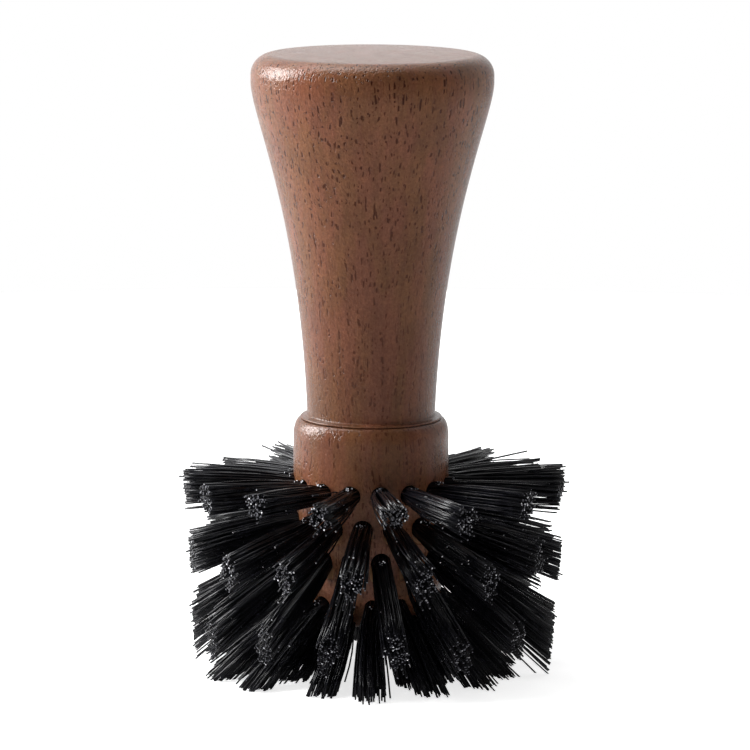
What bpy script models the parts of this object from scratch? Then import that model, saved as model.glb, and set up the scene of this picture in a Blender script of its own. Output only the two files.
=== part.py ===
"""Round brush for the group head and filter basket of a coffee machine.

A turned wooden handle is joined by a hidden dowel to a turned wooden head, and the head carries five
rings of bristle tufts. Metres, +Z up. The origin is on the brush's axis, at the level of the trimmed
bristle ends that the brush stands on. The front of the brush looks along -Y.
"""
import math

import bmesh
import bpy
from mathutils import Matrix, Vector

OBJECT_NAME = "coffee_machine_brush"

# Clearances
FIT_GAP = 0.0003
CUT_OVERRUN = 0.002

# Handle
HANDLE_LENGTH = 0.0585
GRIP_RADIUS = 0.01933
GRIP_SHOULDER_RADIUS = 0.0033
GRIP_SIDE_DEPTH = 0.0045
NECK_RADIUS = 0.01025
FOOT_FLARE = 0.00108
FOOT_COVE_HEIGHT = 0.0007
FOOT_EDGE_THICKNESS = 0.0003
FLARE_UPPER_SHARE = 0.105
FLARE_LOWER_SHARE = 0.614
FLARE_LEAN_SHARE = 0.146

# Head: a collar under the handle's foot, and the core that holds the tufts
COLLAR_ROUNDING_WIDTH = 0.00112
COLLAR_ROUNDING_DEPTH = 0.00275
CORE_END_HEIGHT = 0.0075
CORE_LENGTH = 0.033
CORE_STRAIGHT_SHARE = 0.5758
CORE_END_RADIUS = 0.0064
CORE_END_DROP_SHARE = 0.57
CORE_END_REACH_SHARE = 0.68
END_SLICE_SHARE = 0.4
SPIGOT_RADIUS = 0.005
SPIGOT_LENGTH = 0.0025

# Dowel across the seam
DOWEL_RADIUS = 0.004
DOWEL_IN_HANDLE = 0.014
DOWEL_IN_HEAD = 0.011
DOWEL_CHAMFER = 0.0006
SOCKET_END_ROOM = 0.0005

# Tufts, with angles in degrees counted from the front towards +X
BRISTLE_RADIUS = 0.0308
TUFTS_PER_RING = 16
STRANDS_PER_TUFT = 6
STRAND_SPACING = 0.0001
STRAND_TRIM_STEPS = 3
STRAND_TRIM_SHARE = 0.018

# Upper rings, each tuft set in its own hole
UPPER_RING_NAMES = ("upper_tuft", "middle_tuft", "third_tuft")
FIRST_RING_SHARE = 0.3273
RING_SPACING_SHARE = 0.1667
UPPER_REACH_SHARES = (1.0, 0.972, 0.94)
UPPER_DROOP_ANGLES = (-0.7, 15.9, 33.1)
UPPER_FIRST_ANGLES = (7.4, -5.8, 7.9)
HOLE_RADIUS = 0.00165
HOLE_DEPTH = 0.003
TUFT_RECESS = 0.0004
TUFT_TIP_RADIUS = 0.0029

# Lower rings, fused to the core's end slice and trimmed to the surface that the brush stands on
LOWER_ROOT_SHARES = (0.5, 0.75)
LOWER_REACH_SHARES = (0.802, 0.568)
LOWER_FIRST_ANGLES = (2.0, -1.0)
LOWER_ROOT_RADIUS = 0.0011
LOWER_ROOT_DEPTH = 0.0012
LOWER_ROOT_PROUD = 0.0004
LOWER_TIP_RADIUS = 0.0022
FLOOR_TRIM = 0.0005

# Finishes
WOOD_COLOUR = (0.16, 0.066, 0.036)
WOOD_ROUGHNESS = 0.42
DOWEL_COLOUR = (0.55, 0.38, 0.22)
DOWEL_ROUGHNESS = 0.6
BRISTLE_COLOUR = (0.012, 0.012, 0.015)
BRISTLE_ROUGHNESS = 0.38

# Smoothness
HANDLE_SIDES = 48
HEAD_SIDES = 48
HOLE_SIDES = 12
DOWEL_SIDES = 24
FLARE_POINTS = 9
ROUNDING_POINTS = 4
CURVE_HALVINGS = 40
SHARP_ANGLE = math.radians(35)
MERGE_DISTANCE = 0.00001

# Sizes that follow from the ones above
FOOT_RADIUS = NECK_RADIUS + FOOT_FLARE
CORE_RADIUS = FOOT_RADIUS + COLLAR_ROUNDING_WIDTH
SEAM_HEIGHT = CORE_END_HEIGHT + CORE_LENGTH
CORE_SIDE_END = SEAM_HEIGHT - CORE_STRAIGHT_SHARE * CORE_LENGTH


def cubic_point(p0, p1, p2, p3, share):
    """Point of a cubic Bezier curve in the (radius, height) plane."""
    rest = 1 - share
    weights = (rest ** 3, 3 * rest ** 2 * share, 3 * rest * share ** 2, share ** 3)
    radius = sum(weight * point[0] for weight, point in zip(weights, (p0, p1, p2, p3)))
    height = sum(weight * point[1] for weight, point in zip(weights, (p0, p1, p2, p3)))
    return radius, height


def quarter_round(center, width, height, first, last):
    """Elliptical arc in the (radius, height) plane, with angles in degrees from the outward direction."""
    arc = []
    for index in range(ROUNDING_POINTS + 1):
        angle = math.radians(first + (last - first) * index / ROUNDING_POINTS)
        arc.append((center[0] + width * math.cos(angle), center[1] + height * math.sin(angle)))
    return arc


def core_end_point(share):
    """Point on the rounding between the core's straight side and its flat end."""
    drop = CORE_END_DROP_SHARE * (CORE_SIDE_END - CORE_END_HEIGHT)
    reach = CORE_END_RADIUS + CORE_END_REACH_SHARE * (CORE_RADIUS - CORE_END_RADIUS)
    return cubic_point((CORE_RADIUS, CORE_SIDE_END), (CORE_RADIUS, CORE_SIDE_END - drop),
                       (reach, CORE_END_HEIGHT), (CORE_END_RADIUS, CORE_END_HEIGHT), share)


def core_radius_at(height):
    """Radius of the core at a height, found by halving the rounding's curve."""
    if height >= CORE_SIDE_END:
        return CORE_RADIUS
    low, high = 0.0, 1.0
    for _ in range(CURVE_HALVINGS):
        middle = (low + high) / 2
        if core_end_point(middle)[1] > height:
            low = middle
        else:
            high = middle
    return core_end_point(low)[0]


def add_object(name, mesh, collection):
    thing = bpy.data.objects.new(name, mesh)
    collection.objects.link(thing)
    return thing


def hide_helper(thing):
    thing.hide_render = True
    thing.display_type = "WIRE"


def turned_piece(name, outline, sides, collection):
    """Solid turned from an outline that runs from the axis at the top, down its outer side, to the axis."""
    mesh = bpy.data.meshes.new(name)
    points = [(radius, 0, height) for radius, height in outline]
    edges = [(index, index + 1) for index in range(len(points) - 1)]
    mesh.from_pydata(points, edges, [])
    thing = add_object(name, mesh, collection)
    screw = thing.modifiers.new("turn", "SCREW")
    screw.steps = sides
    screw.render_steps = sides
    screw.use_merge_vertices = True
    screw.merge_threshold = MERGE_DISTANCE
    return thing


def upright_cylinder(name, radius, low, high, sides, collection):
    bpy.ops.mesh.primitive_cylinder_add(vertices=sides, radius=radius, depth=high - low,
                                        location=(0, 0, (low + high) / 2))
    thing = bpy.context.object
    thing.name = name
    for old in list(thing.users_collection):
        old.objects.unlink(thing)
    collection.objects.link(thing)
    return thing


def add_boolean(thing, operation, operand):
    """Boolean with one object, or with all the objects of a collection."""
    boolean = thing.modifiers.new(operation.lower(), "BOOLEAN")
    boolean.operation = operation
    boolean.solver = "EXACT"
    if isinstance(operand, bpy.types.Collection):
        boolean.operand_type = "COLLECTION"
        boolean.collection = operand
    else:
        boolean.object = operand


def settle(thing):
    """Applies an object's modifiers, and shades its round faces smooth between sharp edges."""
    evaluated = thing.evaluated_get(bpy.context.evaluated_depsgraph_get())
    shape = bpy.data.meshes.new_from_object(evaluated)
    thing.modifiers.clear()
    thing.data = shape
    shape.shade_smooth()
    shape.set_sharp_from_angle(angle=SHARP_ANGLE)


def handle_outline():
    top = SEAM_HEIGHT + HANDLE_LENGTH
    side_end = top - GRIP_SIDE_DEPTH
    cove_top = SEAM_HEIGHT + FOOT_COVE_HEIGHT
    shoulder = quarter_round((GRIP_RADIUS - GRIP_SHOULDER_RADIUS, top - GRIP_SHOULDER_RADIUS),
                             GRIP_SHOULDER_RADIUS, GRIP_SHOULDER_RADIUS, 90, 0)
    span = side_end - cove_top
    lean = FLARE_LEAN_SHARE * (GRIP_RADIUS - NECK_RADIUS)
    flare = [cubic_point((GRIP_RADIUS, side_end), (GRIP_RADIUS, side_end - FLARE_UPPER_SHARE * span),
                         (NECK_RADIUS + lean, cove_top + FLARE_LOWER_SHARE * span), (NECK_RADIUS, cove_top),
                         index / FLARE_POINTS)
             for index in range(FLARE_POINTS + 1)]
    cove = quarter_round((FOOT_RADIUS, cove_top), FOOT_FLARE, FOOT_COVE_HEIGHT - FOOT_EDGE_THICKNESS, 180, 270)
    return [(0, top)] + shoulder + flare + cove[1:] + [(FOOT_RADIUS, SEAM_HEIGHT), (0, SEAM_HEIGHT)]


def make_handle(parts, cutters):
    handle = turned_piece("handle", handle_outline(), HANDLE_SIDES, parts)
    socket_top = SEAM_HEIGHT + DOWEL_IN_HANDLE + SOCKET_END_ROOM
    socket = upright_cylinder("handle_socket_cutter", DOWEL_RADIUS + FIT_GAP, SEAM_HEIGHT - CUT_OVERRUN,
                              socket_top, DOWEL_SIDES, cutters)
    hide_helper(socket)
    add_boolean(handle, "DIFFERENCE", socket)
    return handle


def make_dowel(parts):
    dowel = upright_cylinder("joining_dowel", DOWEL_RADIUS, SEAM_HEIGHT - DOWEL_IN_HEAD,
                             SEAM_HEIGHT + DOWEL_IN_HANDLE, DOWEL_SIDES, parts)
    bevel = dowel.modifiers.new("chamfer", "BEVEL")
    bevel.width = DOWEL_CHAMFER
    bevel.segments = 1
    bevel.limit_method = "ANGLE"
    bevel.angle_limit = SHARP_ANGLE
    return dowel


def head_outline():
    """Collar and core, from the seam down to where the end slice begins."""
    top = SEAM_HEIGHT - FIT_GAP
    rounding = quarter_round((FOOT_RADIUS, top - COLLAR_ROUNDING_DEPTH), COLLAR_ROUNDING_WIDTH,
                             COLLAR_ROUNDING_DEPTH, 90, 0)
    side = [core_end_point(END_SLICE_SHARE * index / ROUNDING_POINTS) for index in range(ROUNDING_POINTS + 1)]
    return [(0, top)] + rounding + side + [(0, side[-1][1])]


def make_head(parts, cutters, drills):
    """The head, drilled for the upper tufts, with a socket for the dowel and a recess for the spigot."""
    head = turned_piece("brush_head", head_outline(), HEAD_SIDES, parts)
    add_boolean(head, "DIFFERENCE", drills)
    socket_bottom = SEAM_HEIGHT - DOWEL_IN_HEAD - SOCKET_END_ROOM
    socket = upright_cylinder("head_socket_cutter", DOWEL_RADIUS + FIT_GAP, socket_bottom,
                              SEAM_HEIGHT + CUT_OVERRUN, DOWEL_SIDES, cutters)
    hide_helper(socket)
    add_boolean(head, "DIFFERENCE", socket)
    bottom = core_end_point(END_SLICE_SHARE)[1]
    recess = upright_cylinder("spigot_recess_cutter", SPIGOT_RADIUS + FIT_GAP, bottom - CUT_OVERRUN,
                              bottom + SPIGOT_LENGTH, HEAD_SIDES, cutters)
    hide_helper(recess)
    add_boolean(head, "DIFFERENCE", recess)
    return head


def end_slice_outline():
    """The core's end slice, with a spigot that centres it in the head."""
    edge_radius, head_bottom = core_end_point(END_SLICE_SHARE)
    top = head_bottom - FIT_GAP
    spigot_top = top + SPIGOT_LENGTH
    side = [core_end_point(END_SLICE_SHARE + (1 - END_SLICE_SHARE) * index / ROUNDING_POINTS)
            for index in range(1, ROUNDING_POINTS + 1)]
    return ([(0, spigot_top), (SPIGOT_RADIUS, spigot_top), (SPIGOT_RADIUS, top), (edge_radius, top)]
            + side + [(0, CORE_END_HEIGHT)])


def tuft_axis(root, tip):
    """Start, direction and length of a tuft at angle zero, from (radius, height) points."""
    start = Vector((root[0], 0, root[1]))
    span = Vector((tip[0], 0, tip[1])) - start
    return start, span.normalized(), span.length


def placed_on_axis(bm, start, direction):
    """Turns a shape built along +Z to lie along a tuft's axis from its start."""
    bm.transform(Matrix.Translation(start) @ direction.to_track_quat("Z", "Y").to_matrix().to_4x4())


def tuft_mesh(name, root, tip, root_radius, root_depth, tip_radius, trim_share):
    """One tuft at angle zero: its six-sided folded root, and one strand on each side of the root.

    root and tip are (radius, height) points on the tuft's axis. The root's outer face is at root.
    """
    start, direction, length = tuft_axis(root, tip)
    bm = bmesh.new()
    bmesh.ops.create_cone(bm, cap_ends=True, cap_tris=True, segments=STRANDS_PER_TUFT, radius1=root_radius,
                          radius2=root_radius, depth=root_depth, matrix=Matrix.Translation((0, 0, -root_depth / 2)))
    outer_faces = [face for face in bm.faces if face.calc_center_median().z > -MERGE_DISTANCE]
    bmesh.ops.inset_individual(bm, faces=outer_faces, thickness=STRAND_SPACING, use_even_offset=True)
    strand_ends = bmesh.ops.extrude_discrete_faces(bm, faces=outer_faces)["faces"]
    for index, face in enumerate(strand_ends):
        reach = length * (1 - trim_share * (index % STRAND_TRIM_STEPS))
        for vertex in face.verts:
            vertex.co.x *= tip_radius / root_radius
            vertex.co.y *= tip_radius / root_radius
            vertex.co.z = reach
    placed_on_axis(bm, start, direction)
    mesh = bpy.data.meshes.new(name)
    bm.to_mesh(mesh)
    bm.free()
    return mesh


def drill_mesh(surface, tip):
    """Drill for one tuft at angle zero, from the bottom of its hole to clear of the core."""
    start, direction, _ = tuft_axis(surface, tip)
    bm = bmesh.new()
    bmesh.ops.create_cone(bm, cap_ends=True, segments=HOLE_SIDES, radius1=HOLE_RADIUS, radius2=HOLE_RADIUS,
                          depth=HOLE_DEPTH + CUT_OVERRUN)
    placed_on_axis(bm, start + direction * (CUT_OVERRUN - HOLE_DEPTH) / 2, direction)
    mesh = bpy.data.meshes.new("drill")
    bm.to_mesh(mesh)
    bm.free()
    return mesh


def ring_turn(first_angle, index):
    """Rotation about Z that carries a tuft from +X, angle zero, to its place in its ring."""
    return math.radians(first_angle + 360 * index / TUFTS_PER_RING - 90)


def make_upper_tufts(parts, drills):
    """The three rings of separate tufts, and the drills for their holes."""
    tufts = []
    for ring, name in enumerate(UPPER_RING_NAMES):
        height = SEAM_HEIGHT - (FIRST_RING_SHARE + RING_SPACING_SHARE * ring) * CORE_LENGTH
        surface = Vector((core_radius_at(height), height))
        reach = BRISTLE_RADIUS * UPPER_REACH_SHARES[ring]
        droop = math.radians(UPPER_DROOP_ANGLES[ring])
        tip = surface + (reach - surface.x) * Vector((1, -math.tan(droop)))
        root = surface - TUFT_RECESS * Vector((math.cos(droop), -math.sin(droop)))
        root_depth = HOLE_DEPTH - TUFT_RECESS - FIT_GAP
        mesh = tuft_mesh(name, root, tip, HOLE_RADIUS - FIT_GAP, root_depth, TUFT_TIP_RADIUS, STRAND_TRIM_SHARE)
        drill_shape = drill_mesh(surface, tip)
        for index in range(TUFTS_PER_RING):
            turn = ring_turn(UPPER_FIRST_ANGLES[ring], index)
            tuft = add_object(f"{name}_{index + 1:02d}", mesh, parts)
            tuft.rotation_euler.z = turn
            tufts.append(tuft)
            drill = add_object(f"{name}_drill_{index + 1:02d}", drill_shape, drills)
            drill.rotation_euler.z = turn
            hide_helper(drill)
    return tufts


def trim_at_floor(mesh):
    """Cuts a mesh flat at height zero and closes the cut strands."""
    bm = bmesh.new()
    bm.from_mesh(mesh)
    geometry = bm.verts[:] + bm.edges[:] + bm.faces[:]
    cut = bmesh.ops.bisect_plane(bm, geom=geometry, plane_co=(0, 0, 0), plane_no=(0, 0, 1), clear_inner=True)
    cut_edges = [item for item in cut["geom_cut"] if isinstance(item, bmesh.types.BMEdge)]
    bmesh.ops.holes_fill(bm, edges=cut_edges, sides=0)
    bm.to_mesh(mesh)
    bm.free()


def make_lower_tufts(parts, cutters):
    """The two rings that the brush stands on, fused to the end slice of the core."""
    lower = turned_piece("lower_tufts", end_slice_outline(), HEAD_SIDES, parts)
    for ring, (root_share, reach_share) in enumerate(zip(LOWER_ROOT_SHARES, LOWER_REACH_SHARES)):
        surface = Vector(core_end_point(root_share))
        floor_point = Vector((BRISTLE_RADIUS * reach_share, 0))
        direction = (floor_point - surface).normalized()
        overlong = (FLOOR_TRIM + LOWER_TIP_RADIUS * direction.x) / -direction.y
        mesh = tuft_mesh("lower_tuft", surface + direction * LOWER_ROOT_PROUD, floor_point + direction * overlong,
                         LOWER_ROOT_RADIUS, LOWER_ROOT_DEPTH, LOWER_TIP_RADIUS, 0)
        trim_at_floor(mesh)
        ring_helpers = bpy.data.collections.new("lower_ring")
        cutters.children.link(ring_helpers)
        for index in range(TUFTS_PER_RING):
            tuft = add_object("lower_tuft", mesh, ring_helpers)
            tuft.rotation_euler.z = ring_turn(LOWER_FIRST_ANGLES[ring], index)
            hide_helper(tuft)
        add_boolean(lower, "UNION", ring_helpers)
    return lower


def make_material(name, colour, roughness):
    material = bpy.data.materials.new(name)
    material.use_nodes = True
    shader = material.node_tree.nodes["Principled BSDF"]
    shader.inputs["Base Color"].default_value = (*colour, 1)
    shader.inputs["Roughness"].default_value = roughness
    shader.inputs["Metallic"].default_value = 0
    return material


def give_material(things, material):
    for thing in things:
        thing.data.materials.clear()
        thing.data.materials.append(material)


def main():
    for old in list(bpy.data.objects):
        bpy.data.objects.remove(old)
    parts = bpy.data.collections.new(OBJECT_NAME)
    cutters = bpy.data.collections.new("cutters")
    drills = bpy.data.collections.new("drills")
    bpy.context.scene.collection.children.link(parts)
    bpy.context.scene.collection.children.link(cutters)
    cutters.children.link(drills)

    handle = make_handle(parts, cutters)
    dowel = make_dowel(parts)
    tufts = make_upper_tufts(parts, drills)
    head = make_head(parts, cutters, drills)
    lower = make_lower_tufts(parts, cutters)
    for thing in (handle, dowel, head, lower):
        settle(thing)

    give_material((handle, head), make_material("stained_wood", WOOD_COLOUR, WOOD_ROUGHNESS))
    give_material((dowel,), make_material("dowel_wood", DOWEL_COLOUR, DOWEL_ROUGHNESS))
    give_material([lower] + tufts, make_material("black_bristle", BRISTLE_COLOUR, BRISTLE_ROUGHNESS))


main()
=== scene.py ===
"""Round brush for a coffee machine: the looks of every piece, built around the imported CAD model.

Metres, +Z up. The origin is on the brush's axis, at the level of the trimmed bristle ends that it
stands on, and the front looks along -Y. Outlines are lists of (radius, height) points.
"""
import math

import bpy
import numpy as np
from mathutils import Matrix, Vector


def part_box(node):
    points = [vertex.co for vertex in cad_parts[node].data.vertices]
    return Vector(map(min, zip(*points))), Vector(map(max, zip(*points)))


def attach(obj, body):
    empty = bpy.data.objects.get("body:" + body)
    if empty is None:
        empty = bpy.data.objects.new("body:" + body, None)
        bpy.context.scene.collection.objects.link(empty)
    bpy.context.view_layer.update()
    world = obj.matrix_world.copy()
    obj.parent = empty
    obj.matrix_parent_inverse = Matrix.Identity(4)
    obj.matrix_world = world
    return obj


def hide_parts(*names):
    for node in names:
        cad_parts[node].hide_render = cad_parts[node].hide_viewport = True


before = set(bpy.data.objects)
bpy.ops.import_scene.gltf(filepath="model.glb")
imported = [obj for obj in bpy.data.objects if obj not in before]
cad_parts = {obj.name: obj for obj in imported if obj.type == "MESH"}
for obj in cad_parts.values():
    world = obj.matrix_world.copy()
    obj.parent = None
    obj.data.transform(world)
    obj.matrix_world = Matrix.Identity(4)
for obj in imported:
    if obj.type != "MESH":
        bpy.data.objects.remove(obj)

bl_info = {
    "name": "Coffee machine brush",
    "version": (1, 0, 0),
    "blender": (4, 5, 0),
    "location": "View3D > Sidebar > Brush",
    "description": "Builds a turned wooden brush with drilled and filled tufts, piece by piece",
    "category": "Object",
}

MM = 0.001
# Gaps round the dowel and at the seam, the sockets' broken edges, and the width of the finely divided ring
# inside the collar's rim.
FIT_GAP = 0.0003
SEAM_GAP = 0.00009
SOCKET_CHAMFER = 0.0005
FACE_RING = 0.004
SHARP_ANGLE = math.radians(38)
CURVE_HALVINGS = 40
# Degrees from the outward direction at which the arcs in the outlines start and end.
QUARTER_ARC = (90, 0)
COVE_ARC = (180, 262)
LIP_ARC = (80, -90)
# Straight pieces in each part of an outline, and faces round the drills and the floor.
STEPS = {"crown": 12, "shoulder": 18, "flare": 80, "cove": 9, "lip": 8, "face": 4, "rim": 14, "side": 34,
         "end": 34, "flat": 5, "drill": 28, "floor": 64}

HANDLE_LOW, HANDLE_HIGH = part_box("handle")
HEAD_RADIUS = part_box("brush_head")[1].x
DOWEL_LOW, DOWEL_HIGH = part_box("joining_dowel")
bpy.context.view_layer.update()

TUFTS_PER_RING = 16
# For each ring: its first tuft's angle in degrees, how much taller than wide its tips are, and how far it
# reaches as a share of the brush's radius. An upper ring's droop is in degrees below level, and a lower
# ring's root is a share of the way along the head's rounded end.
UPPER_RINGS = {
    "upper_tuft": {"first_angle": 7.4, "tallness": 1.15, "reach": 1.0, "droop": -0.7},
    "middle_tuft": {"first_angle": -5.8, "tallness": 1.5, "reach": 0.972, "droop": 15.9},
    "third_tuft": {"first_angle": 7.9, "tallness": 1.55, "reach": 0.94, "droop": 33.1},
}
LOWER_RINGS = {
    "fourth_tuft": {"first_angle": 2.0, "tallness": 1.0, "reach": 0.802, "root": 0.5},
    "fifth_tuft": {"first_angle": -1.0, "tallness": 1.0, "reach": 0.568, "root": 0.75},
}
ALL_RINGS = {**UPPER_RINGS, **LOWER_RINGS}
# Degrees that tufts at the front and sides lean from their holes' direction, sideways and down. The others
# lean by small seeded angles.
LEANS = {
    "upper_tuft": {0: (-0.6, -0.3), 1: (-1.9, 3.2), 2: (0.8, -0.2), 3: (0.0, 0.5), 4: (0.6, 1.0),
                   5: (-0.5, 2.4), 6: (0.3, 0.4), 9: (0.5, 1.8), 10: (-0.4, 4.2), 11: (0.8, 2.0),
                   12: (0.0, -0.4), 13: (0.8, -0.4), 14: (2.3, -2.6), 15: (0.0, 0.4)},
    "middle_tuft": {0: (0.6, -0.1), 1: (-0.8, 0.0), 2: (-2.0, 1.2), 3: (-1.6, -2.6), 4: (0.0, 2.5),
                    5: (0.6, 3.0), 10: (0.0, 0.0), 11: (0.0, -0.8), 12: (0.4, 3.5), 13: (-2.8, -1.4),
                    14: (1.5, 1.8), 15: (2.4, -0.4)},
    "third_tuft": {0: (0.7, -1.5), 1: (-1.7, 1.9), 2: (-1.9, -1.9), 3: (0.5, 5.0), 4: (-0.8, 3.0),
                   5: (0.0, -4.5), 9: (0.0, -3.5), 10: (0.8, -4.5), 11: (0.5, -1.5), 12: (0.6, 1.5),
                   13: (-2.0, 1.9), 14: (2.8, -0.5), 15: (2.0, 0.0)},
    "fourth_tuft": {2: (0.0, 2.0), 3: (-2.5, 4.0), 4: (0.0, 8.0), 13: (1.5, -3.5), 14: (-1.5, -4.0)},
}
# How much taller than their ring's the tips of some tufts are.
FANS = {
    "upper_tuft": {12: 1.35, 13: 1.15},
    "middle_tuft": {2: 1.1, 3: 1.3, 4: 1.35, 5: 1.3, 11: 1.3, 12: 1.2, 13: 1.2},
    "third_tuft": {3: 1.25, 4: 1.3, 5: 1.5, 10: 1.5, 12: 1.3, 13: 1.35},
}


# Sizes and colours to change

def declared(kind, **limits):
    """A function that declares a property of this kind from a name, a description and a default."""
    def declare(name, description, default):
        return kind(name=name, description=description, default=default, **limits)
    return declare


length = declared(bpy.props.FloatProperty, min=0.0, unit="LENGTH", precision=5)
angle = declared(bpy.props.FloatProperty, subtype="ANGLE")
share = declared(bpy.props.FloatProperty, min=0.0, max=1.0, subtype="FACTOR")
level = declared(bpy.props.FloatProperty, min=0.0)
count = declared(bpy.props.IntProperty, min=1)
colour = declared(bpy.props.FloatVectorProperty, size=4, min=0.0, max=1.0, subtype="COLOR")


class BrushHandleSizes(bpy.types.PropertyGroup):
    """Sizes of the turned handle."""
    seam: length("Seam height", "Height of the joint between handle and head", HANDLE_LOW.z)
    top: length("Top height", "Height of the handle's top", HANDLE_HIGH.z)
    grip_radius: length("Grip radius", "Widest radius, just under the shoulder", HANDLE_HIGH.x)
    shoulder: length("Shoulder rounding", "Radius of the rounded shoulder", 0.0033)
    side_depth: length("Side depth", "From the top down to where the flare starts", 0.0045)
    crown: length("Crown", "How far the top falls from its middle to the shoulder", 0.0002)
    neck_radius: length("Neck radius", "Narrowest radius, just above the foot", 0.01025)
    foot_flare: length("Foot flare", "How far the foot stands out from the neck", 0.00108)
    cove: length("Cove height", "Height of the hollow curve above the foot", 0.00068)
    foot_edge: length("Foot edge", "Thickness of the foot's outer edge", 0.0003)
    upper_pull: share("Upper pull", "How long the flare stays wide", 0.105)
    lower_pull: share("Lower pull", "How early the flare becomes narrow", 0.614)
    lean: share("Lean", "How far the narrow part keeps tapering", 0.146)
    steps: count("Turning steps", "Faces round the handle", 192)


class BrushHeadSizes(bpy.types.PropertyGroup):
    """Sizes of the turned and drilled head."""
    end_height: length("End height", "Height of the head's flat end above the floor", 0.0075)
    straight_share: share("Straight share", "Share of the head's length that is straight", 0.5758)
    rim_width: length("Rim width", "Width of the collar's rounded rim", 0.00112)
    rim_depth: length("Rim depth", "Depth of the collar's rounded rim", 0.00275)
    radius: length("Head radius", "Radius of the collar and core", HEAD_RADIUS)
    end_radius: length("End radius", "Radius of the head's flat end", 0.0064)
    end_drop: share("End drop", "How long the rounded end stays steep", 0.57)
    end_reach: share("End reach", "How far out the rounded end becomes flat", 0.68)
    hole_depth: length("Hole depth", "Depth of the holes for the tufts", 0.003)
    lower_hole_depth: length("Lower hole depth", "Depth of the holes in the rounded end", 0.002)
    hole_chamfer: length("Hole chamfer", "Width of the broken edge round each hole", 0.00006)
    steps: count("Turning steps", "Faces round the head", 168)


class BrushTuftSizes(bpy.types.PropertyGroup):
    """Sizes of the five rings of tufts."""
    radius: length("Brush radius", "Radius of the trimmed upper ring", 0.0308)
    trim_taper: level("Trim taper", "Fall of the trimmed radius per unit of height", 0.062)
    trim_aside: length("Trim offset", "How far the trimmed shape is off the brush's axis", 0.00065)
    first_ring: share("First ring", "Depth of the first ring, as a share of the head", 0.3273)
    ring_step: share("Ring step", "Distance between the upper rings, as a share of the head", 0.1667)
    hole_radius: length("Hole radius", "Radius of the holes of the upper rings", 0.00165)
    lower_hole_radius: length("Lower hole radius", "Radius of the holes of the lower rings", 0.00135)
    spread: length("Spread", "Half the width of an upper tuft at its tip", 0.0019)
    lower_spread: length("Lower spread", "Half the width of a lower tuft at its tip", 0.0025)
    filament: length("Filament radius", "Radius of one bristle filament", 0.000135)
    filaments: count("Filaments", "Filaments in an upper tuft", 104)
    lower_filaments: count("Lower filaments", "Filaments in a lower tuft", 78)
    clumps: count("Clumps", "Clumps that a tuft's tip falls into", 9)
    clumping: share("Clumping", "How closely the filaments gather in their clumps", 0.3)
    raggedness: length("Raggedness", "How much the cut lengths differ", 0.00022)
    bow: length("Bow", "How far a filament bends away from straight", 0.00016)
    # Broken filaments and stubs end in painted glints.
    broken: share("Broken", "Share of the outer filaments that end early", 0.12)
    stubs: count("Stubs", "Short ends at the top of each hole", 6)
    seed: count("Seed", "Start of the fixed random numbers", 7)


class BrushFinishes(bpy.types.PropertyGroup):
    """Colours of the wood and the bristles."""
    stain: colour("Stain", "Middle colour of the stained wood", (0.182, 0.071, 0.037, 1))
    red_stain: colour("Red stain", "Colour of the redder patches", (0.207, 0.072, 0.041, 1))
    olive_stain: colour("Olive stain", "Colour of the yellower patches", (0.176, 0.077, 0.03, 1))
    pore: colour("Pores", "Colour inside the wood's open pores", (0.048, 0.009, 0.002, 1))
    raw_wood: colour("Raw wood", "Wood inside the drilled holes", (0.36, 0.19, 0.09, 1))
    dowel_wood: colour("Dowel wood", "Pale wood of the hidden dowel", (0.55, 0.38, 0.22, 1))
    bristle: colour("Bristle", "Colour of the bristle filaments", (0.007, 0.007, 0.0095, 1))
    # The cut ends' colour is paler than the filaments' for painted sheen.
    bristle_end: colour("Bristle end", "Colour of the cut filament ends", (0.1, 0.1, 0.115, 1))
    # The broken ends' nearly white colour is painted glint.
    broken_end: colour("Broken end", "Colour of the ends that broke early", (0.7, 0.7, 0.74, 1))


class BrushStage(bpy.types.PropertyGroup):
    """Camera, floor and lights."""
    camera_distance: length("Camera distance", "From the brush's axis to the camera", 0.75)
    camera_height: length("Camera height", "Height of the camera above the floor", 0.1705)
    camera_aside: length("Camera offset", "How far the camera stands to the right of the axis", 0.0006)
    pitch: angle("Pitch", "How far the camera looks down", math.radians(9.33))
    roll: angle("Roll", "How far the camera is turned about its view", math.radians(0.235))
    lens: level("Lens", "Focal length in millimetres on a sensor 36 mm wide", 227.9)
    floor_radius: length("Floor radius", "Radius of the pale floor", 0.42)
    floor_glow: level("Floor glow", "Extra light that the floor throws up", 0.2)
    key_power: level("Key power", "Power of the large soft lamp on the left, in watts", 17.3)
    key_side: length("Key side", "Side of the large lamp", 0.6)
    shine_power: level("Shine power", "Power of the left lamp that only reflections show, in watts", 14.3)
    shine_width: length("Shine width", "Width of the left lamp that only reflections show", 0.5)
    shine_height: length("Shine height", "Height of the left lamp that only reflections show", 0.7)
    top_power: level("Top power", "Power of the soft lamp overhead, in watts", 2.6)
    sheen_power: level("Sheen power", "Power of the top lamp that only reflections show, in watts", 6.0)
    top_side: length("Top side", "Side of both overhead lamps", 0.55)
    behind: level("Light behind", "Brightness of the surroundings behind the brush", 0.62)
    front: level("Light in front", "Brightness of the surroundings in front of the brush", 0.17)
    mirrored_behind: level("Mirrored behind", "How bright the back looks in glossy surfaces", 0.97)
    mirrored_front: level("Mirrored in front", "How bright the front looks in glossy surfaces", 0.02)


# Outlines

def cubic_point(corners, along):
    """Point of a cubic Bezier curve in the (radius, height) plane."""
    rest = 1 - along
    weights = (rest ** 3, 3 * rest ** 2 * along, 3 * rest * along ** 2, along ** 3)
    radius = sum(weight * corner[0] for weight, corner in zip(weights, corners))
    height = sum(weight * corner[1] for weight, corner in zip(weights, corners))
    return radius, height


def arc(center, width, height, turn, points):
    """Elliptical arc between two angles in degrees from the outward direction."""
    first, last = turn
    angles = [math.radians(first + (last - first) * index / points) for index in range(points + 1)]
    return [(center[0] + width * math.cos(part), center[1] + height * math.sin(part)) for part in angles]


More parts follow.
